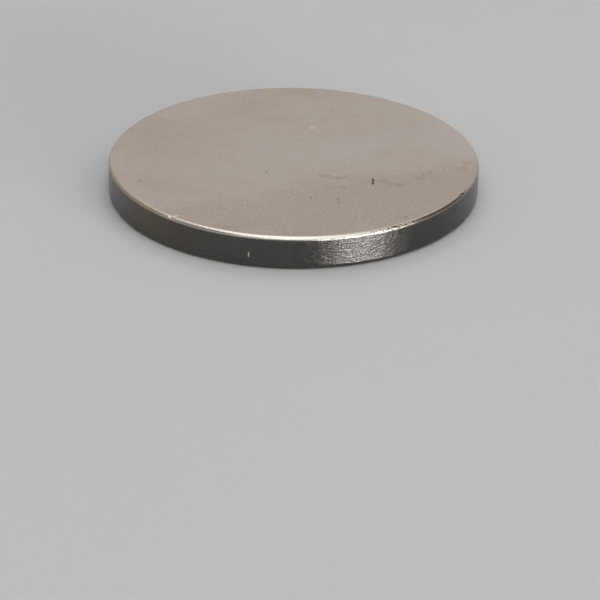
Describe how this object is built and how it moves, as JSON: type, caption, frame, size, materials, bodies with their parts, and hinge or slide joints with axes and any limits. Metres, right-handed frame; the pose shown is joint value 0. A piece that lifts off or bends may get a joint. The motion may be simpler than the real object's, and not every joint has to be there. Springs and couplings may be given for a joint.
{
  "type": "disc magnet",
  "caption": "Flat round disc magnet, nickel plated all over, with rounded edges; holds on to steel by either face, or sits glued in a round pocket.",
  "frame": {"origin": "centre of the bottom face, on the disc's axis", "axes": "+Z along the disc's axis, from the bottom face to the top face; X and Y are any two directions across the disc"},
  "size_m": [0.022, 0.022, 0.002],
  "materials": {
    "nickel_plate": "gloss"
  },
  "bodies": {
    "root": {"magnet_disc": "nickel_plate"}
  },
  "joints": []
}
